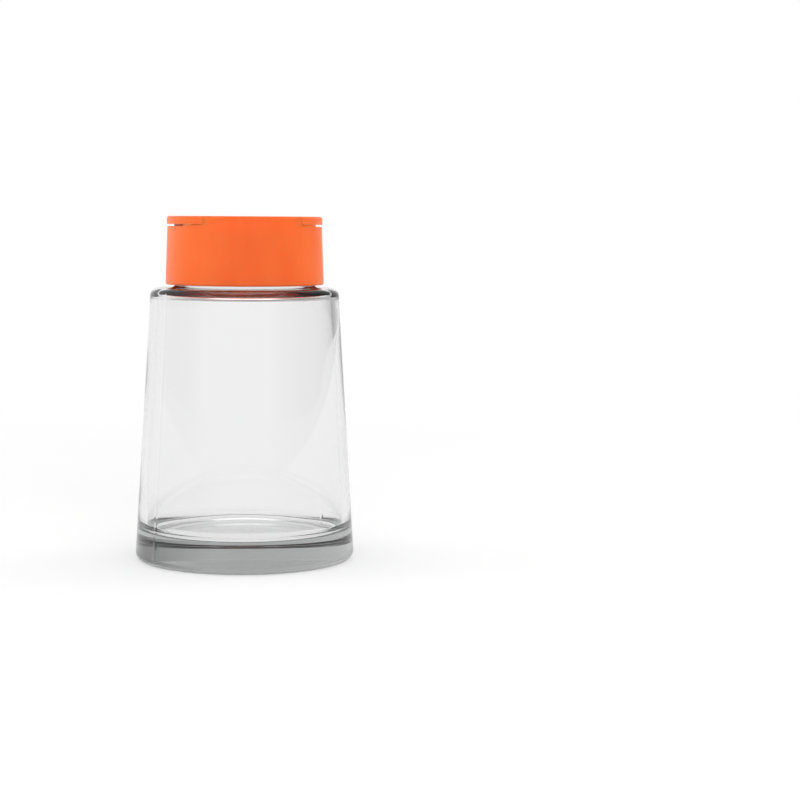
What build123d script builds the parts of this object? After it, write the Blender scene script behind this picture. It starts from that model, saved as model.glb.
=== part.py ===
from build123d import *
import os

# A glass spice jar with a screwed-on moulded cap. The jar's axis is Z, the jar stands on Z = 0,
# and the cap's fixed centre band runs along Y, with the shaker flap at -X and the spoon flap at +X.

# Overall heights, in millimetres above the floor
TOTAL_HEIGHT = 99.2
SHOULDER_HEIGHT = 79.0
LIP_HEIGHT = 93.5

# Glass jar, outside from the base to the lip, then inside from the lip to the floor
BEARING_INNER_RADIUS = 27.0
PUNT_HEIGHT = 1.8
BASE_RADIUS = 31.8
HEEL_FILLET = 2.4
BAND_RADIUS = 27.3
BAND_BOTTOM = 73.0
SHOULDER_RADIUS = 27.15
SHOULDER_EDGE_HEIGHT = 78.6
SHOULDER_FILLET = 2.4
NECK_RADIUS = 19.85
LIP_CHAMFER = 0.8
BORE_RADIUS = 17.0
INNER_NECK_HEIGHT = 77.4
INNER_SHOULDER_RADIUS = 24.8
INNER_SHOULDER_HEIGHT = 76.6
INNER_SHOULDER_FILLET = 2.0
FLOOR_CORNER_RADIUS = 28.6
FLOOR_CORNER_HEIGHT = 8.6
FLOOR_FILLET = 5.5
FLOOR_CROWN_HEIGHT = 9.6
SHARP = 0.0

# Liner ring between the glass lip and the cap
LINER_OUTER_RADIUS = 20.9
LINER_INNER_RADIUS = 17.3
LINER_THICKNESS = 0.8

# Cap walls
SHOULDER_GAP = 0.7
SKIRT_BOTTOM_RADIUS = 22.75
SKIRT_TOP_RADIUS = 22.05
SKIRT_BORE_BOTTOM_RADIUS = 21.45
SKIRT_BORE_TOP_RADIUS = 21.2
SKIRT_EDGE_CHAMFER = 0.35
TOP_EDGE_FILLET = 0.8
DECK_THICKNESS = 1.5
RIM_HEIGHT = 1.0
RIM_INNER_RADIUS = 20.7
LOCATING_RING_OUTER_RADIUS = 16.7
LOCATING_RING_THICKNESS = 0.7
LOCATING_RING_DEPTH = 1.6
LOCATING_RING_CHAMFER = 0.25

# Centre band, flap seams and hinges
BAND_HALF_WIDTH = 3.1
BAND_WALL = 1.0
BAND_TOP_THICKNESS = 1.3
BAND_CORE_LENGTH = 31.0
HINGE_GAP = 0.8
HINGE_CHAMFER = 0.3
HINGE_THICKNESS = 0.3
HINGE_SINK = 0.25
SEAM_HALF_SPACING = 17.3
SEAM_GAP = 0.15

# Openings in the deck
SPOON_OPENING_NEAR = 5.2
SPOON_OPENING_RADIUS = 14.6
SPOON_OPENING_FILLET = 1.8
SIFTER_HOLE_RADIUS = 2.1
SIFTER_PITCH = 6.2
SIFTER_NEAR = 7.2
SIFTER_FAR = 12.2
SIFTER_NEAR_COUNT = 4
SIFTER_FAR_COUNT = 3
SIFTER_CHAMFER = 0.3

# Flaps
FLAP_RADIUS = 22.3
FLAP_PLATE = 1.4
FLAP_RIM_WIDTH = 1.3
FLAP_RIM_CLEARANCE = 0.1
FLAP_EDGE_FILLET = 0.75
FLAP_POCKET_FILLET = 0.6
PEG_ROOT_RADIUS = 1.65
PEG_TAPER = 6
PEG_ENGAGEMENT = 0.35
PLUG_CLEARANCE = 0.5
PLUG_WALL = 1.0
PLUG_ENGAGEMENT = 0.4
LATCH_OUTER_RADIUS = 20.25
LATCH_WALL = 0.8
LATCH_HALF_LENGTH = 8.0
LATCH_ENGAGEMENT = 0.6

# Finger notches under the flaps' outer edges, and two short scores on the fixed ends
NOTCH_NEAR = 18.8
NOTCH_DEPTH = 0.5
SCORE_OFFSET = 2.3
SCORE_WIDTH = 0.3
SCORE_DEPTH = 0.4
SCORE_LENGTH = 3.2

# Heights and places that follow from the sizes above
skirt_bottom = SHOULDER_HEIGHT + SHOULDER_GAP
deck_underside = LIP_HEIGHT + LINER_THICKNESS
deck_top = deck_underside + DECK_THICKNESS
rim_top = deck_top + RIM_HEIGHT
flap_underside = TOTAL_HEIGHT - FLAP_PLATE
flap_bottom = rim_top + FLAP_RIM_CLEARANCE
hinge_top = TOTAL_HEIGHT - HINGE_SINK
flap_near = BAND_HALF_WIDTH + HINGE_GAP
seam_flap = SEAM_HALF_SPACING - SEAM_GAP
well_above = TOTAL_HEIGHT
SHAKER_SIDE = -1
SPOON_SIDE = 1


def half_disc(side, near, radius, half_length):
    """A disc of the given radius, cut off by the line x = near and by the two seams, on one side."""
    Circle(radius)
    with Locations((side * (near + radius / 2), 0)):
        Rectangle(radius, 2 * half_length, mode=Mode.INTERSECT)


def sifter_places():
    """The centres of the shaker holes: a near row and a shorter far row, staggered."""
    near_row = Locations((SHAKER_SIDE * SIFTER_NEAR, 0))
    far_row = Locations((SHAKER_SIDE * SIFTER_FAR, 0))
    places = []
    with near_row:
        places += GridLocations(0, SIFTER_PITCH, 1, SIFTER_NEAR_COUNT).locations
    with far_row:
        places += GridLocations(0, SIFTER_PITCH, 1, SIFTER_FAR_COUNT).locations
    return places


# Glass jar: one turned form, with a thick floor pushed up in the middle
with BuildPart() as glass_jar:
    with BuildSketch(Plane.XZ):
        with BuildLine():
            FilletPolyline(
                (0, PUNT_HEIGHT),
                (BEARING_INNER_RADIUS, 0),
                (BASE_RADIUS, 0),
                (BAND_RADIUS, BAND_BOTTOM),
                (SHOULDER_RADIUS, SHOULDER_EDGE_HEIGHT),
                (NECK_RADIUS, SHOULDER_HEIGHT),
                (NECK_RADIUS, LIP_HEIGHT - LIP_CHAMFER),
                (NECK_RADIUS - LIP_CHAMFER, LIP_HEIGHT),
                (BORE_RADIUS + LIP_CHAMFER, LIP_HEIGHT),
                (BORE_RADIUS, LIP_HEIGHT - LIP_CHAMFER),
                (BORE_RADIUS, INNER_NECK_HEIGHT),
                (INNER_SHOULDER_RADIUS, INNER_SHOULDER_HEIGHT),
                (FLOOR_CORNER_RADIUS, FLOOR_CORNER_HEIGHT),
                (0, FLOOR_CROWN_HEIGHT),
                radius=[
                    SHARP,
                    HEEL_FILLET,
                    SHARP,
                    SHOULDER_FILLET,
                    SHARP,
                    SHARP,
                    SHARP,
                    SHARP,
                    SHARP,
                    SHARP,
                    INNER_SHOULDER_FILLET,
                    FLOOR_FILLET,
                ],
            )
            Line((0, FLOOR_CROWN_HEIGHT), (0, PUNT_HEIGHT))
        make_face()
    revolve(axis=Axis.Z)
glass_jar.part.label = "glass_jar"


# Liner ring: a flat washer that the cap presses on the glass lip
with BuildPart() as seal_ring:
    with BuildSketch(Plane.XY.offset(LIP_HEIGHT)):
        Circle(LINER_OUTER_RADIUS)
        Circle(LINER_INNER_RADIUS, mode=Mode.SUBTRACT)
    extrude(amount=LINER_THICKNESS)
seal_ring.part.label = "seal_ring"


# Cap body: skirt, deck, centre band and the two fixed ends are one moulding
with BuildPart() as cap_body:
    # Turned form of the skirt, closed at the top, with the ring that centres the liner
    locating_ring_inner = LOCATING_RING_OUTER_RADIUS - LOCATING_RING_THICKNESS
    locating_ring_bottom = deck_underside - LOCATING_RING_DEPTH
    with BuildSketch(Plane.XZ):
        with BuildLine():
            Polyline(
                (0, deck_underside),
                (locating_ring_inner, deck_underside),
                (locating_ring_inner, locating_ring_bottom),
                (LOCATING_RING_OUTER_RADIUS - LOCATING_RING_CHAMFER, locating_ring_bottom),
                (LOCATING_RING_OUTER_RADIUS, locating_ring_bottom + LOCATING_RING_CHAMFER),
                (LOCATING_RING_OUTER_RADIUS, deck_underside),
                (SKIRT_BORE_TOP_RADIUS, deck_underside),
                (SKIRT_BORE_BOTTOM_RADIUS, skirt_bottom),
                (SKIRT_BOTTOM_RADIUS, skirt_bottom),
                (SKIRT_TOP_RADIUS, TOTAL_HEIGHT),
                (0, TOTAL_HEIGHT),
                close=True,
            )
        make_face()
    revolve(axis=Axis.Z)
    outer_circles = cap_body.edges().filter_by(GeomType.CIRCLE).group_by(SortBy.RADIUS)
    chamfer(outer_circles[-1], SKIRT_EDGE_CHAMFER)
    fillet(cap_body.edges().filter_by(GeomType.CIRCLE).group_by(Axis.Z)[-1], TOP_EDGE_FILLET)

    # Room for the flaps: down to the rim outside, and down to the deck inside the rim
    for side in (SHAKER_SIDE, SPOON_SIDE):
        with BuildSketch(Plane.XY.offset(rim_top)):
            half_disc(side, BAND_HALF_WIDTH, SKIRT_BOTTOM_RADIUS, SEAM_HALF_SPACING)
        extrude(amount=well_above, mode=Mode.SUBTRACT)
        with BuildSketch(Plane.XY.offset(deck_top)):
            half_disc(side, BAND_HALF_WIDTH, RIM_INNER_RADIUS, SEAM_HALF_SPACING)
        extrude(amount=RIM_HEIGHT, mode=Mode.SUBTRACT)

    # Core under the centre band, open towards the jar
    band_core_height = TOTAL_HEIGHT - BAND_TOP_THICKNESS - deck_underside
    with BuildSketch(Plane.XY.offset(deck_underside)):
        SlotOverall(BAND_CORE_LENGTH, 2 * (BAND_HALF_WIDTH - BAND_WALL), rotation=90)
    extrude(amount=band_core_height, mode=Mode.SUBTRACT)

    # Bevels along the band, so that the hinge webs lie in shallow grooves
    band_edges = cap_body.edges().filter_by(Axis.Y).group_by(Axis.Z)[-1]
    chamfer(band_edges, HINGE_CHAMFER)

    # Spoon opening
    with BuildSketch(Plane.XY.offset(deck_underside)) as spoon_opening:
        half_disc(SPOON_SIDE, SPOON_OPENING_NEAR, SPOON_OPENING_RADIUS, SPOON_OPENING_RADIUS)
        fillet(spoon_opening.vertices(), SPOON_OPENING_FILLET)
    extrude(amount=DECK_THICKNESS, mode=Mode.SUBTRACT)

    # Shaker holes, bevelled on top
    with BuildSketch(Plane.XY.offset(deck_underside)):
        with Locations(*sifter_places()):
            Circle(SIFTER_HOLE_RADIUS)
    extrude(amount=DECK_THICKNESS, mode=Mode.SUBTRACT)
    hole_edges = cap_body.edges().filter_by(GeomType.CIRCLE).filter_by(
        lambda edge: abs(edge.radius - SIFTER_HOLE_RADIUS) < SIFTER_CHAMFER
    )
    chamfer(hole_edges.group_by(Axis.Z)[-1], SIFTER_CHAMFER)

    # Finger notches: a shallow slot across the rim under each flap, flat at the back
    for side in (SHAKER_SIDE, SPOON_SIDE):
        with BuildSketch(Plane.XY.offset(rim_top - NOTCH_DEPTH)):
            half_disc(side, NOTCH_NEAR, SKIRT_BOTTOM_RADIUS, SEAM_HALF_SPACING)
        extrude(amount=NOTCH_DEPTH, mode=Mode.SUBTRACT)

    # Short scores on the fixed ends, outboard of the spoon hinge
    score_centre_y = SEAM_HALF_SPACING + SCORE_LENGTH / 2
    with BuildSketch(Plane.XY.offset(TOTAL_HEIGHT - SCORE_DEPTH)):
        with Locations((BAND_HALF_WIDTH + SCORE_OFFSET, score_centre_y)):
            Rectangle(SCORE_WIDTH, SCORE_LENGTH)
        with Locations((BAND_HALF_WIDTH + SCORE_OFFSET, -score_centre_y)):
            Rectangle(SCORE_WIDTH, SCORE_LENGTH)
    extrude(amount=SCORE_DEPTH, mode=Mode.SUBTRACT)
cap_body.part.label = "cap_body"


def make_flap_shell(side):
    """The plate of one flap with its turned-down rim and the latch rib inside the rim."""
    with BuildPart() as shell:
        with BuildSketch(Plane.XY.offset(flap_bottom)):
            half_disc(side, flap_near, FLAP_RADIUS, seam_flap)
        extrude(amount=TOTAL_HEIGHT - flap_bottom)
        fillet(shell.edges().filter_by(GeomType.CIRCLE).group_by(Axis.Z)[-1], FLAP_EDGE_FILLET)
        chamfer(shell.edges().filter_by(Axis.Y).group_by(Axis.Z)[-1], HINGE_CHAMFER)
        with BuildSketch(Plane.XY.offset(flap_bottom)) as hollow:
            half_disc(
                side,
                flap_near + FLAP_RIM_WIDTH,
                FLAP_RADIUS - FLAP_RIM_WIDTH,
                seam_flap - FLAP_RIM_WIDTH,
            )
            fillet(hollow.vertices(), FLAP_POCKET_FILLET)
        extrude(amount=flap_underside - flap_bottom, mode=Mode.SUBTRACT)
        with BuildSketch(Plane.XY.offset(rim_top - LATCH_ENGAGEMENT)):
            half_disc(side, flap_near, LATCH_OUTER_RADIUS, LATCH_HALF_LENGTH)
            Circle(LATCH_OUTER_RADIUS - LATCH_WALL, mode=Mode.SUBTRACT)
        extrude(until=Until.NEXT)
    return shell.part


# Shaker flap: a peg under the plate for each shaker hole
peg_tip = deck_top - PEG_ENGAGEMENT
shaker_shell = make_flap_shell(SHAKER_SIDE)
with BuildPart() as shaker_flap:
    add(shaker_shell)
    with BuildSketch(Plane.XY.offset(flap_underside)):
        with Locations(*sifter_places()):
            Circle(PEG_ROOT_RADIUS)
    extrude(amount=peg_tip - flap_underside, taper=PEG_TAPER)
shaker_flap.part.label = "shaker_flap"


# Spoon flap: a plug wall that stands in the spoon opening
spoon_shell = make_flap_shell(SPOON_SIDE)
with BuildPart() as spoon_flap:
    add(spoon_shell)
    with BuildSketch(Plane.XY.offset(deck_top - PLUG_ENGAGEMENT)) as plug:
        half_disc(SPOON_SIDE, SPOON_OPENING_NEAR, SPOON_OPENING_RADIUS, SPOON_OPENING_RADIUS)
        fillet(plug.vertices(), SPOON_OPENING_FILLET)
        offset(amount=-PLUG_CLEARANCE, mode=Mode.REPLACE)
        offset(amount=-PLUG_WALL, mode=Mode.SUBTRACT)
    extrude(amount=flap_underside - deck_top + PLUG_ENGAGEMENT)
spoon_flap.part.label = "spoon_flap"


def make_hinge_web(side):
    """The thin web that joins the band to a flap and bends when the flap opens."""
    with BuildPart() as web:
        with BuildSketch(Plane.XY.offset(hinge_top - HINGE_THICKNESS)):
            with Locations((side * (BAND_HALF_WIDTH + HINGE_GAP / 2), 0)):
                Rectangle(HINGE_GAP, 2 * seam_flap)
        extrude(amount=HINGE_THICKNESS)
    return web.part


# Living hinges
shaker_web = make_hinge_web(SHAKER_SIDE)
with BuildPart() as shaker_hinge:
    add(shaker_web)
shaker_hinge.part.label = "shaker_hinge"

spoon_web = make_hinge_web(SPOON_SIDE)
with BuildPart() as spoon_hinge:
    add(spoon_web)
spoon_hinge.part.label = "spoon_hinge"


os.makedirs("parts", exist_ok=True)
for piece in (glass_jar, seal_ring, cap_body, shaker_flap, spoon_flap, shaker_hinge, spoon_hinge):
    export_step(piece.part, f"parts/{piece.part.label}.step")
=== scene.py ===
import math

import bpy
import numpy as np
from mathutils import Matrix, Vector


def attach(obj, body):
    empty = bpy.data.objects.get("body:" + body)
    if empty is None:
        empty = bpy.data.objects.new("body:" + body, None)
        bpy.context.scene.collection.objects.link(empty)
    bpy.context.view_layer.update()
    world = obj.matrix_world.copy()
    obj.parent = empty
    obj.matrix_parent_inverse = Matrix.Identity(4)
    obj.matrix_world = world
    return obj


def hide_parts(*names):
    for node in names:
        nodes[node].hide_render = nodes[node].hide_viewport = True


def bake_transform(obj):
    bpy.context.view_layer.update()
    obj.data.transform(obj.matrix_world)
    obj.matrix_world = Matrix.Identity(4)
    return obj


# A tapered glass spice jar with an orange flap cap, on a plain pale floor. The jar and the camera are given
# in millimetres, as on a drawing, and MM turns them into metres. The floor and the lamps are in metres.
MM = 0.001
FULL_TURN = 2 * math.pi

# Glass, outside from the base to the lip, then inside from the lip to the floor. Pairs are radius and height,
# and corners are given as they are before rounding.
PUNT_HEIGHT = 1.8
PUNT_EDGE = (25.2, 0.6)
BEARING_INNER_RADIUS = 27.0
BASE_RADIUS = 31.8
BAND = (27.3, 73.0)
SHOULDER = (27.15, 78.6)
NECK_RADIUS = 19.85
SHOULDER_HEIGHT = 79.0
LIP_HEIGHT = 93.5
BORE_RADIUS = 17.0
INNER_NECK_HEIGHT = 76.9
INNER_SHOULDER = (24.8, 76.6)
FLOOR_CORNER = (28.6, 8.6)
FLOOR_EDGE = (21.0, 8.8)
FLOOR_CROWN_HEIGHT = 9.6

# Radii of the glass corners, in the same order
BEARING_ROUND = 0.8
HEEL_ROUND = 2.4
BAND_ROUND = 20.0
SHOULDER_ROUND = 2.4
NECK_FOOT_ROUND = 1.2
LIP_OUTER_ROUND = 1.2
LIP_INNER_ROUND = 0.9
BORE_FOOT_ROUND = 1.8
INNER_SHOULDER_ROUND = 1.2
FLOOR_CORNER_ROUND = 3.0

# Fineness of the glass mesh
AROUND = 384
ARC_STEP = math.radians(9)
POLE_RINGS = 10
INNERMOST_RING = 0.08
WALL_ROW = 3.0
THREAD_ROW = 0.28
THREAD_ROW_SPAN = (SHOULDER_HEIGHT + 1, LIP_HEIGHT - 1)
NECK_MARGIN = 0.1

# Thread. Fades are in turns.
THREAD_LEAD = 4.23
THREAD_TURNS = 1.5
NECK_THREAD_START = 83.3
NECK_THREAD_HEIGHT = 1.15
NECK_THREAD_WIDTH = 2.6
NECK_THREAD_FULLNESS = 1.6
NECK_THREAD_FADE = 0.12
NECK_THREAD_SPAN = (SHOULDER_HEIGHT + 1, LIP_HEIGHT - 1.2)
CAP_THREAD_ROOT = 21.7
CAP_THREAD_CREST = 20.4
CAP_THREAD_HALF_BASE = 1.05
CAP_THREAD_HALF_CREST = 0.4
CAP_THREAD_FADE = 0.1
CAP_THREAD_LEAST = 0.05
CAP_THREAD_STEPS = 160
CAP_THREAD_BEVEL = 0.15

# Stippled foot
STIPPLE_COUNT = 64
STIPPLE_DEPTH = 0.28
STIPPLE_RING = (27.5, 29.1)
STIPPLE_FADE = 0.4
STIPPLE_SLANT = 1.2
STIPPLE_TOP = 1

# Uneven inner wall. A wave is its strength, its number round the jar, its phase and its turn per millimetre.
WALL_WAVE = 0.06
WALL_WAVES = ((1.0, 2, 0.0, 0.05), (0.6, 3, 1.7, -0.09), (0.35, 5, 0.6, 0.16), (0.25, 1, 0.0, 0.2))
WAVE_FADE_IN = (FLOOR_CORNER[1] + 3, 22)
WAVE_FADE_OUT = (66, INNER_SHOULDER[1])

# Mould seams, which stand out more at the foot
SEAM_HEIGHT = 0.05
SEAM_FOOT_HEIGHT = 0.25
SEAM_FOOT_FADE = (7, 12)
SEAM_SPAN = (2, SHOULDER_HEIGHT - 1.5)
SEAM_ANGLE = math.radians(29.2)

# Living hinges of the cap
BAND_HALF_WIDTH = 3.1
HINGE_GAP = 0.8
HINGE_TOP = 98.95
HINGE_THICKNESS = 0.3
HINGE_THINNING = 0.35
HINGE_HALF_LENGTH = 17.15
HINGE_OVERLAP = 0.15
HINGE_CELLS = (12, 24)

# Softened edges
EDGE_BEVEL = 0.08
BEVEL_SEGMENTS = 2
SHARP_ANGLE = math.radians(35)
WELD_REACH = 0.001

# Colours
WHITE = (1, 1, 1, 1)
FLOOR_COLOUR = (0.8, 0.8, 0.8, 1)
GLASS_SHADOW = (0.93, 0.94, 0.94, 1)
GLASS_DEPTH = (0.50, 0.51, 0.51, 1)
ORANGE_DEEP = (0.90, 0.138, 0.021)
ORANGE_LIGHT = (0.95, 0.162, 0.029)
# The webs' paler orange is a painted highlight, for the sheen on their crests and light through the thin
# strip
PAINTED_HIGHLIGHT_WEB_DEEP = (0.94, 0.23, 0.06)
PAINTED_HIGHLIGHT_WEB_LIGHT = (0.98, 0.28, 0.08)
FOAM_DEEP = (0.74, 0.74, 0.71)
FOAM_LIGHT = (0.82, 0.82, 0.80)

# Most of a noise lies in this part of 0 to 1
NOISE_SPAN = (0.3, 0.7)

# Floor, in metres. It turns white between near and far.
FLOOR_RADIUS = 3.0
FLOOR_SIDES = 96
FLOOR_NEAR = 0.16
FLOOR_FAR = 0.45
FLOOR_LIFT = 0.2
THROUGH_GLASS = 0.93

# Studio, as light and as gloss and glass see it. Each span is the part of the direction's Z or X over which a
# level changes.
WORLD_LIGHT = 0.52
CEILING_LEVEL = 0.6
CEILING_SPAN = (0.35, 0.8)
OVERHEAD_LEVEL = 2.0
OVERHEAD_SPAN = (0.88, 0.96)
RIGHT_LEVEL = 0.3
RIGHT_SPAN = (0.3, 0.9)
LEFT_LEVEL = 0.6
LEFT_SPAN = (-0.98, -0.82)
LAMP_AIM_HEIGHT = 50

# Camera
FOCAL_PIXELS = 2000
IMAGE_PIXELS = 800
SENSOR = 36
CLIP = (0.01, 20)
CAMERA_DISTANCE = 579.4
CAMERA_HEIGHT = 98.0
CAMERA_AZIMUTH = math.radians(-7)
CAMERA_PAN = math.radians(4.45)
CAMERA_TILT = math.radians(5.10)
CAMERA_ROLL = math.radians(0.36)

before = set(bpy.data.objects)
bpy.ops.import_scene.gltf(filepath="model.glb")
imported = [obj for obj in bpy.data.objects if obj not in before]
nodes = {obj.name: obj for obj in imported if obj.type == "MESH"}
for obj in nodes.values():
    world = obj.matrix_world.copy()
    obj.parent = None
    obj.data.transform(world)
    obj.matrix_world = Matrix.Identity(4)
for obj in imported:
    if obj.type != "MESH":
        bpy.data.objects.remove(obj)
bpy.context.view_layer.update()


def smooth_step(value, low, high):
    """0 below low, 1 above high, and an even S between them."""
    share = np.clip((value - low) / (high - low), 0, 1)
    return share * share * (3 - 2 * share)


def within(value, span):
    return (value > span[0]) & (value < span[1])


# Node building
def add_node(tree, kind, inputs=None, **settings):
    """A shader node. inputs maps a socket's name or number to a value or to another node's output."""
    made = tree.nodes.new(kind)
    for name, value in settings.items():
        setattr(made, name, value)
    for name, value in (inputs or {}).items():
        if isinstance(value, bpy.types.NodeSocket):
            tree.links.new(value, made.inputs[name])
        else:
            made.inputs[name].default_value = value
    return made


def empty_material(name):
    material = bpy.data.materials.new(name)
    material.use_nodes = True
    material.node_tree.nodes.clear()
    return material, material.node_tree


def calculate(tree, operation, first, second):
    return add_node(tree, "ShaderNodeMath", {0: first, 1: second}, operation=operation).outputs[0]


def mix_shaders(tree, share, first, second):
    """first where share is 0 and second where it is 1."""
    return add_node(tree, "ShaderNodeMixShader", {0: share, 1: first, 2: second}).outputs[0]


def object_noise(tree, scale, detail, roughness, stretch=(1, 1, 1)):
    """Noise fixed to the piece. scale is in features per metre."""
    place = add_node(tree, "ShaderNodeTexCoord").outputs["Object"]
    mapped = add_node(tree, "ShaderNodeMapping", {"Vector": place, "Scale": stretch}).outputs[0]
    inputs = {"Vector": mapped, "Scale": scale, "Detail": detail, "Roughness": roughness}
    return add_node(tree, "ShaderNodeTexNoise", inputs).outputs["Fac"]


def remap(tree, value, low, high, span=NOISE_SPAN):
    """low at the start of span, high at its end, and even steps between."""
    inputs = {"Value": value, 1: span[0], 2: span[1], 3: low, 4: high}
    return add_node(tree, "ShaderNodeMapRange", inputs).outputs[0]


def blend_colours(tree, factor, first, second):
    made = add_node(tree, "ShaderNodeMix", data_type="RGBA")
    colour_sockets = [s for s in made.inputs if s.type == "RGBA"]
    colour_sockets[0].default_value = (*first, 1)
    colour_sockets[1].default_value = (*second, 1)
    tree.links.new(factor, made.inputs[0])
    return [s for s in made.outputs if s.type == "RGBA"][0]


def show(tree, surface, volume=None):
    inputs = {"Surface": surface}
    if volume is not None:
        inputs["Volume"] = volume
    add_node(tree, "ShaderNodeOutputMaterial", inputs)


# Materials
def clear_glass():
    """Soda glass: a little grey over a long path, and faintly uneven. Lamps shine through it."""
    material, tree = empty_material("clear_glass")
    ripple = object_noise(tree, scale=45, detail=1.0, roughness=0.4, stretch=(1, 1, 0.35))
    bump = add_node(tree, "ShaderNodeBump", {"Height": ripple, "Strength": 0.12, "Distance": 0.2 * MM})
    glass = add_node(tree, "ShaderNodeBsdfPrincipled", {
        "Base Color": WHITE,
        "Roughness": 0.0,
        "IOR": 1.5,
        "Transmission Weight": 1.0,
        "Normal": bump.outputs[0],
    })
    passed = add_node(tree, "ShaderNodeBsdfTransparent", {"Color": GLASS_SHADOW})
    shadow_ray = add_node(tree, "ShaderNodeLightPath").outputs["Is Shadow Ray"]
    surface = mix_shaders(tree, shadow_ray, glass.outputs[0], passed.outputs[0])
    inside = add_node(tree, "ShaderNodeVolumeAbsorption", {"Color": GLASS_DEPTH, "Density": 30.0})
    show(tree, surface, inside.outputs[0])
    return material


def orange_plastic(name, deep, light, translucence):
    """Injection-moulded polypropylene: orange with faint flow marks, and semi-gloss."""
    material, tree = empty_material(name)
    flow = object_noise(tree, scale=90, detail=3.0, roughness=0.55, stretch=(1, 1, 0.3))
    colour = blend_colours(tree, remap(tree, flow, 0, 1), deep, light)
    grain = object_noise(tree, scale=1500, detail=2.0, roughness=0.5)
    gloss = object_noise(tree, scale=160, detail=3.0, roughness=0.6)
    bump = add_node(tree, "ShaderNodeBump", {"Height": grain, "Strength": 0.10, "Distance": 0.04 * MM})
    plastic = add_node(tree, "ShaderNodeBsdfPrincipled", {
        "Base Color": colour,
        "Roughness": remap(tree, gloss, 0.30, 0.42),
        "IOR": 1.49,
        "Specular IOR Level": 0.3,
        "Subsurface Weight": translucence,
        "Subsurface Radius": (1.0, 0.5, 0.28),
        "Subsurface Scale": 2.2 * MM,
        "Normal": bump.outputs[0],
    })
    show(tree, plastic.outputs[0])
    return material


def foam_liner():
    """White closed-cell foam with a slightly pitted skin."""
    material, tree = empty_material("foam_liner")
    cells = object_noise(tree, scale=1800, detail=2.0, roughness=0.6)
    patches = object_noise(tree, scale=120, detail=3.0, roughness=0.5)
    colour = blend_colours(tree, remap(tree, patches, 0, 1), FOAM_DEEP, FOAM_LIGHT)
    bump = add_node(tree, "ShaderNodeBump", {"Height": cells, "Strength": 0.5, "Distance": 0.06 * MM})
    foam = add_node(tree, "ShaderNodeBsdfPrincipled", {
        "Base Color": colour,
        "Roughness": remap(tree, cells, 0.75, 0.9),
        "Normal": bump.outputs[0],
    })
    show(tree, foam.outputs[0])
    return material


# The webs are a paler orange, a painted highlight that stands in for the sheen on their crests and the light
# through so thin a strip, and have no subsurface light. With it, and in the cap's colour, they looked brown.
GLASS = clear_glass()
ORANGE = orange_plastic("orange_plastic", ORANGE_DEEP, ORANGE_LIGHT, translucence=0.7)
WEB_PLASTIC_PAINTED_HIGHLIGHT = orange_plastic("web_plastic_painted_highlight", PAINTED_HIGHLIGHT_WEB_DEEP, PAINTED_HIGHLIGHT_WEB_LIGHT, translucence=0.0)
FOAM = foam_liner()


# Mesh building
def mesh_object(name, vertices, faces, material, smooth=True):
    mesh = bpy.data.meshes.new(name)
    mesh.from_pydata([tuple(v) for v in vertices], [], faces)
    mesh.validate()
    if smooth:
        mesh.shade_smooth()
    mesh.materials.append(material)
    made = bpy.data.objects.new(name, mesh)
    bpy.context.scene.collection.objects.link(made)
    return made


def rounded_outline(start, corners, end):
    """The points of a line from start to end, through corners that are each a point and its radius."""
    points = [np.array(point, float) for point in [start] + [place for place, _ in corners] + [end]]
    line = [points[0]]
    for before, corner, after, (_, radius) in zip(points, points[1:], points[2:], corners):
        back = (before - corner) / np.linalg.norm(before - corner)
        ahead = (after - corner) / np.linalg.norm(after - corner)
        half = math.acos(np.clip(back @ ahead, -1, 1)) / 2
        reach = radius / math.tan(half)
        centre = corner + (back + ahead) / np.linalg.norm(back + ahead) * radius / math.sin(half)
        first = corner + back * reach - centre
        middle = corner - centre
        sweep = math.pi - 2 * half
        side = math.copysign(1, first[0] * middle[1] - first[1] * middle[0])
        steps = max(1, math.ceil(sweep / ARC_STEP))
        for step in range(steps + 1):
            angle = side * sweep * step / steps
            c, s = math.cos(angle), math.sin(angle)
            line.append(centre + np.array([c * first[0] - s * first[1], s * first[0] + c * first[1]]))
    line.append(points[-1])
    return line


def divided(line, longest):
    """The same line with its stretches divided so that none is longer than longest(point)."""
    out = [line[0]]
    for a, b in zip(line, line[1:]):
        parts = max(1, math.ceil(np.linalg.norm(b - a) / longest((a + b) / 2)))
        out += [a + (b - a) * k / parts for k in range(1, parts + 1)]
    return out


def row_spacing(point):
    on_neck = point[0] > NECK_RADIUS - NECK_MARGIN and within(point[1], THREAD_ROW_SPAN)
    return THREAD_ROW if on_neck else WALL_ROW


def dome(edge, crown_height, shares):
    """Points of a shallow dome at these shares of the edge's radius."""
    drop = crown_height - edge[1]
    return [np.array([edge[0] * share, crown_height - drop * share * share]) for share in shares]


def glass_profile():
    """The jar's outline from the middle of the base, over the lip, to the middle of the floor inside."""
    corners = [
        ((BEARING_INNER_RADIUS, 0), BEARING_ROUND),
        ((BASE_RADIUS, 0), HEEL_ROUND),
        (BAND, BAND_ROUND),
        (SHOULDER, SHOULDER_ROUND),
        ((NECK_RADIUS, SHOULDER_HEIGHT), NECK_FOOT_ROUND),
        ((NECK_RADIUS, LIP_HEIGHT), LIP_OUTER_ROUND),
        ((BORE_RADIUS, LIP_HEIGHT), LIP_INNER_ROUND),
        ((BORE_RADIUS, INNER_NECK_HEIGHT), BORE_FOOT_ROUND),
        (INNER_SHOULDER, INNER_SHOULDER_ROUND),
        (FLOOR_CORNER, FLOOR_CORNER_ROUND),
    ]
    shares = np.linspace(INNERMOST_RING, 1, POLE_RINGS)
    punt = dome(PUNT_EDGE, PUNT_HEIGHT, shares[:-1])
    crown = dome(FLOOR_EDGE, FLOOR_CROWN_HEIGHT, shares[-2::-1])
    return np.array(punt + divided(rounded_outline(PUNT_EDGE, corners, FLOOR_EDGE), row_spacing) + crown)


def fade_at_ends(along, fade):
    """1 along the thread, falling to 0 over the last fade turns at each end."""
    return smooth_step(along, 0, fade) * (1 - smooth_step(along, THREAD_TURNS - fade, THREAD_TURNS))


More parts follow.
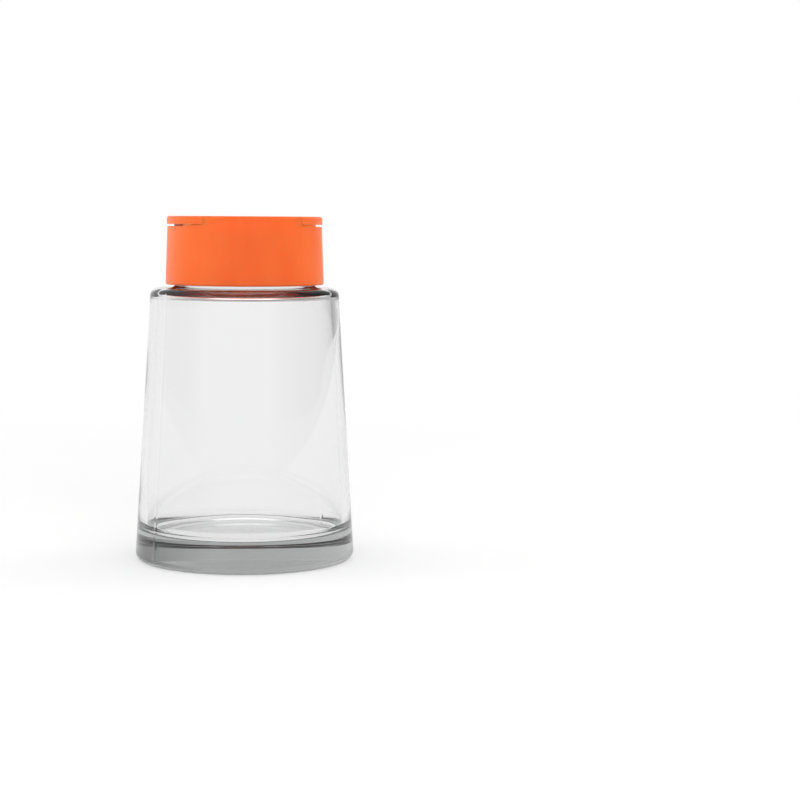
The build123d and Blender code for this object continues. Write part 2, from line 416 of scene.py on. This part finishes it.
def thread_rise(angle, height):
    """How far the glass thread stands out at these angles and heights, from 0 to 1."""
    rise = np.zeros_like(angle)
    for turn in range(math.ceil(THREAD_TURNS) + 1):
        along = angle / FULL_TURN + turn
        centre = NECK_THREAD_START + THREAD_LEAD * along
        ridge = np.clip(1 - np.abs(height - centre) / (NECK_THREAD_WIDTH / 2), 0, 1)
        full = np.minimum(1, NECK_THREAD_FULLNESS * smooth_step(ridge, 0, 1))
        rise = np.maximum(rise, full * fade_at_ends(along, NECK_THREAD_FADE))
    return rise


def stipple_lift(turn, radius):
    """How far the foot's slanting ridges lift the glass."""
    inner_edge, outer_edge = STIPPLE_RING
    foot = smooth_step(radius, inner_edge, inner_edge + STIPPLE_FADE)
    foot *= 1 - smooth_step(radius, outer_edge - STIPPLE_FADE, outer_edge)
    ridges = 0.5 - 0.5 * np.cos(STIPPLE_COUNT * turn + STIPPLE_SLANT * (radius - inner_edge))
    return STIPPLE_DEPTH * foot * ridges


def wall_shift(turn, height):
    """How far the inner wall is out of true."""
    wall = smooth_step(height, *WAVE_FADE_IN) * (1 - smooth_step(height, *WAVE_FADE_OUT))
    waves = (s * np.sin(count * turn + phase + climb * height) for s, count, phase, climb in WALL_WAVES)
    return WALL_WAVE * wall * sum(waves)


def build_glass():
    """The jar as one turned skin, with its neck thread, stippled foot, mould seams and uneven inner wall."""
    profile = glass_profile()
    lip = int(np.argmax(profile[:, 1]))
    rows = len(profile)
    angle = np.arange(AROUND) * FULL_TURN / AROUND
    radius = np.repeat(profile[:, :1], AROUND, 1)
    height = np.repeat(profile[:, 1:], AROUND, 1)
    turn = np.repeat(angle[None, :], rows, 0)
    inner = (np.arange(rows) > lip)[:, None]

    neck = ~inner & within(height, NECK_THREAD_SPAN)
    radius += NECK_THREAD_HEIGHT * thread_rise(turn, height) * neck
    lift = stipple_lift(turn, radius) * (height < STIPPLE_TOP) * ~inner
    radius += wall_shift(turn, height) * inner

    foot_share = 1 - smooth_step(height, *SEAM_FOOT_FADE)
    seam = SEAM_HEIGHT + (SEAM_FOOT_HEIGHT - SEAM_HEIGHT) * foot_share
    seam *= ~inner & within(height, SEAM_SPAN)
    for seam_angle in (SEAM_ANGLE, SEAM_ANGLE + math.pi):
        column = int(round(seam_angle / FULL_TURN * AROUND)) % AROUND
        radius[:, column] += seam[:, column]

    places = np.stack([radius * np.cos(turn), radius * np.sin(turn), height + lift], -1).reshape(-1, 3)
    low_pole, high_pole = len(places), len(places) + 1
    places = np.vstack([places, [[0, 0, PUNT_HEIGHT], [0, 0, FLOOR_CROWN_HEIGHT]]]) * MM

    def at(row, column):
        return row * AROUND + column

    faces = []
    for j in range(AROUND):
        k = (j + 1) % AROUND
        faces.append((low_pole, k, j))
        for i in range(rows - 1):
            faces.append((at(i, j), at(i, k), at(i + 1, k), at(i + 1, j)))
        faces.append((at(rows - 1, j), at(rows - 1, k), high_pole))
    return mesh_object("jar_glass", places, faces, GLASS)


glass = build_glass()
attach(glass, "jar")
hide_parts("glass_jar")


def build_cap_thread():
    """The ridge inside the skirt that climbs between the turns of the glass thread."""
    steps = CAP_THREAD_STEPS
    section = [
        (CAP_THREAD_ROOT, -CAP_THREAD_HALF_BASE),
        (CAP_THREAD_CREST, -CAP_THREAD_HALF_CREST),
        (CAP_THREAD_CREST, CAP_THREAD_HALF_CREST),
        (CAP_THREAD_ROOT, CAP_THREAD_HALF_BASE),
    ]
    start = NECK_THREAD_START - THREAD_LEAD / 2
    places = []
    for step in range(steps + 1):
        along = THREAD_TURNS * step / steps
        rise = max(float(fade_at_ends(along, CAP_THREAD_FADE)), CAP_THREAD_LEAST)
        turn = along * FULL_TURN
        for radius, offset in section:
            r = CAP_THREAD_ROOT + (radius - CAP_THREAD_ROOT) * rise
            z = start + THREAD_LEAD * along + offset
            places.append((r * math.cos(turn) * MM, r * math.sin(turn) * MM, z * MM))
    sides = len(section)
    faces = [tuple(range(sides)), tuple(range(steps * sides + sides - 1, steps * sides - 1, -1))]
    for step in range(steps):
        for side in range(sides):
            a, b = step * sides + side, step * sides + (side + 1) % sides
            faces.append((a, a + sides, b + sides, b))
    made = mesh_object("cap_thread", places, faces, ORANGE)
    bevel = made.modifiers.new("round", "BEVEL")
    bevel.width = CAP_THREAD_BEVEL * MM
    bevel.segments = BEVEL_SEGMENTS
    bevel.limit_method = "ANGLE"
    return made


cap_thread = build_cap_thread()
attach(cap_thread, "cap")


def build_hinge(side, name, node):
    """A living hinge: a strip that is thinnest along its middle, laid across the gap between the cap and its
    flap.
    """
    across, along = HINGE_CELLS
    middle = BAND_HALF_WIDTH + HINGE_GAP / 2
    half = HINGE_GAP / 2 + HINGE_OVERLAP
    places = []
    for level in (0, 1):
        for i in range(across + 1):
            offset = half * (2 * i / across - 1)
            thin = HINGE_THINNING * HINGE_THICKNESS * (1 - (offset / half) ** 2)
            z = HINGE_TOP - thin if level else HINGE_TOP - HINGE_THICKNESS
            for j in range(along + 1):
                y = HINGE_HALF_LENGTH * (2 * j / along - 1)
                places.append((side * (middle + offset) * MM, y * MM, z * MM))
    level_size = (across + 1) * (along + 1)

    def at(level, i, j):
        return level * level_size + i * (along + 1) + j

    faces = []
    for i in range(across):
        for j in range(along):
            faces.append((at(1, i, j), at(1, i + 1, j), at(1, i + 1, j + 1), at(1, i, j + 1)))
            faces.append((at(0, i, j), at(0, i, j + 1), at(0, i + 1, j + 1), at(0, i + 1, j)))
    for i in range(across):
        faces.append((at(0, i, 0), at(0, i + 1, 0), at(1, i + 1, 0), at(1, i, 0)))
        faces.append((at(0, i, along), at(1, i, along), at(1, i + 1, along), at(0, i + 1, along)))
    for j in range(along):
        faces.append((at(0, 0, j), at(1, 0, j), at(1, 0, j + 1), at(0, 0, j + 1)))
        faces.append((at(0, across, j), at(0, across, j + 1), at(1, across, j + 1), at(1, across, j)))
    if side < 0:
        faces = [face[::-1] for face in faces]
    # The web's material is the paler orange, a painted highlight
    made = mesh_object(name, places, faces, WEB_PLASTIC_PAINTED_HIGHLIGHT, smooth=False)
    level = (HINGE_TOP - HINGE_THICKNESS / 2) * MM
    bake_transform(made)
    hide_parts(node)


build_hinge(-1, "shaker_hinge_web", "shaker_hinge")
build_hinge(1, "spoon_hinge_web", "spoon_hinge")


def finish_node(name, material):
    """Gives a CAD node its material and softens its sharp edges."""
    node = nodes[name]
    node.data.materials.clear()
    node.data.materials.append(material)
    weld = node.modifiers.new("weld", "WELD")
    weld.merge_threshold = WELD_REACH * MM
    bevel = node.modifiers.new("bevel", "BEVEL")
    bevel.width = EDGE_BEVEL * MM
    bevel.segments = BEVEL_SEGMENTS
    bevel.limit_method = "ANGLE"
    bevel.angle_limit = SHARP_ANGLE
    normals = node.modifiers.new("normals", "WEIGHTED_NORMAL")
    normals.keep_sharp = False


for name in ("cap_body", "shaker_flap", "spoon_flap"):
    finish_node(name, ORANGE)
finish_node("seal_ring", FOAM)


# Studio
def build_floor():
    """A pale floor that fades to white and keeps the shadow. Through glass it is an even pale grey."""
    material, tree = empty_material("studio_floor")
    place = add_node(tree, "ShaderNodeTexCoord").outputs["Object"]
    reach = add_node(tree, "ShaderNodeVectorMath", {0: place}, operation="LENGTH").outputs["Value"]
    inputs = {"Value": reach, 1: FLOOR_NEAR, 2: FLOOR_FAR}
    far = add_node(tree, "ShaderNodeMapRange", inputs, interpolation_type="SMOOTHSTEP").outputs[0]
    pale = add_node(tree, "ShaderNodeBsdfDiffuse", {"Color": FLOOR_COLOUR}).outputs[0]
    lift = add_node(tree, "ShaderNodeEmission", {"Strength": FLOOR_LIFT}).outputs[0]
    near = add_node(tree, "ShaderNodeAddShader", {0: pale, 1: lift}).outputs[0]
    white = add_node(tree, "ShaderNodeEmission", {"Strength": 1.0}).outputs[0]
    seen = mix_shaders(tree, far, near, white)
    ray = add_node(tree, "ShaderNodeLightPath").outputs
    looked = calculate(tree, "MAXIMUM", ray["Is Camera Ray"], ray["Is Glossy Ray"])
    plain = mix_shaders(tree, looked, pale, seen)
    glazed = add_node(tree, "ShaderNodeEmission", {"Strength": THROUGH_GLASS}).outputs[0]
    show(tree, mix_shaders(tree, ray["Is Transmission Ray"], plain, glazed))
    places = [(0, 0, 0)]
    for k in range(FLOOR_SIDES):
        angle = k * FULL_TURN / FLOOR_SIDES
        places.append((FLOOR_RADIUS * math.cos(angle), FLOOR_RADIUS * math.sin(angle), 0))
    faces = [(0, 1 + k, 1 + (k + 1) % FLOOR_SIDES) for k in range(FLOOR_SIDES)]
    floor = mesh_object("studio_floor", places, faces, material, smooth=False)


def background(tree, strength):
    return add_node(tree, "ShaderNodeBackground", {"Color": WHITE, "Strength": strength}).outputs[0]


def build_world():
    """Even light for surfaces, and white for the camera. Gloss and glass see a studio with darker sides and
    ceiling and a bright patch overhead."""
    world = bpy.data.worlds.new("studio")
    world.use_nodes = True
    tree = world.node_tree
    tree.nodes.clear()
    direction = add_node(tree, "ShaderNodeTexCoord").outputs["Generated"]
    parts = add_node(tree, "ShaderNodeSeparateXYZ", {0: direction}).outputs
    ray = add_node(tree, "ShaderNodeLightPath").outputs
    ceiling = remap(tree, parts["Z"], THROUGH_GLASS, CEILING_LEVEL, CEILING_SPAN)
    overhead = remap(tree, parts["Z"], 0, OVERHEAD_LEVEL, OVERHEAD_SPAN)
    above = calculate(tree, "ADD", ceiling, overhead)
    right = remap(tree, parts["X"], 1.0, RIGHT_LEVEL, RIGHT_SPAN)
    left = remap(tree, parts["X"], LEFT_LEVEL, 1.0, LEFT_SPAN)
    level = calculate(tree, "MULTIPLY", above, calculate(tree, "MULTIPLY", right, left))
    reflected = calculate(tree, "MAXIMUM", ray["Is Glossy Ray"], ray["Is Transmission Ray"])
    soft = mix_shaders(tree, reflected, background(tree, WORLD_LIGHT), background(tree, level))
    seen = mix_shaders(tree, ray["Is Camera Ray"], soft, background(tree, 1.0))
    add_node(tree, "ShaderNodeOutputWorld", {"Surface": seen})
    bpy.context.scene.world = world


def add_softbox(name, azimuth, elevation, distance, width, height, power):
    """A rectangular lamp that faces the jar. Azimuth is round the jar, 0 in front and 90 at +X."""
    data = bpy.data.lights.new(name, "AREA")
    data.shape = "RECTANGLE"
    data.size = width
    data.size_y = height
    data.energy = power
    lamp = bpy.data.objects.new(name, data)
    bpy.context.scene.collection.objects.link(lamp)
    a, e = math.radians(azimuth), math.radians(elevation)
    out = Vector((math.sin(a) * math.cos(e), -math.cos(a) * math.cos(e), math.sin(e)))
    lamp.location = Vector((0, 0, LAMP_AIM_HEIGHT * MM)) + out * distance
    lamp.rotation_euler = (-out).to_track_quat("-Z", "Y").to_euler()
    lamp.visible_camera = False
    lamp.visible_glossy = False
    lamp.visible_transmission = False


def build_camera():
    """The camera, placed round the jar by its azimuth and then turned by pan, tilt and roll."""
    data = bpy.data.cameras.new("camera")
    data.sensor_width = SENSOR
    data.lens = FOCAL_PIXELS / IMAGE_PIXELS * SENSOR
    data.clip_start, data.clip_end = CLIP
    camera = bpy.data.objects.new("camera", data)
    bpy.context.scene.collection.objects.link(camera)
    camera.location = Vector((
        CAMERA_DISTANCE * math.sin(CAMERA_AZIMUTH),
        -CAMERA_DISTANCE * math.cos(CAMERA_AZIMUTH),
        CAMERA_HEIGHT,
    )) * MM
    heading = Matrix.Rotation(CAMERA_AZIMUTH - CAMERA_PAN, 4, "Z")
    down = Matrix.Rotation(math.pi / 2 - CAMERA_TILT, 4, "X")
    tip = Matrix.Rotation(CAMERA_ROLL, 4, "Z")
    camera.rotation_euler = (heading @ down @ tip).to_euler()
    bpy.context.scene.camera = camera


build_floor()
build_world()
for name, side in (("left_softbox", -1), ("right_softbox", 1)):
    add_softbox(name, azimuth=108 * side, elevation=6, distance=0.9, width=0.5, height=0.7, power=5.5)
add_softbox("front_softbox", azimuth=0, elevation=25, distance=1.3, width=1.0, height=0.7, power=8)
add_softbox("top_softbox", azimuth=0, elevation=88, distance=1.0, width=0.8, height=0.8, power=1.5)
build_camera()

bpy.context.scene.view_settings.view_transform = "Standard"
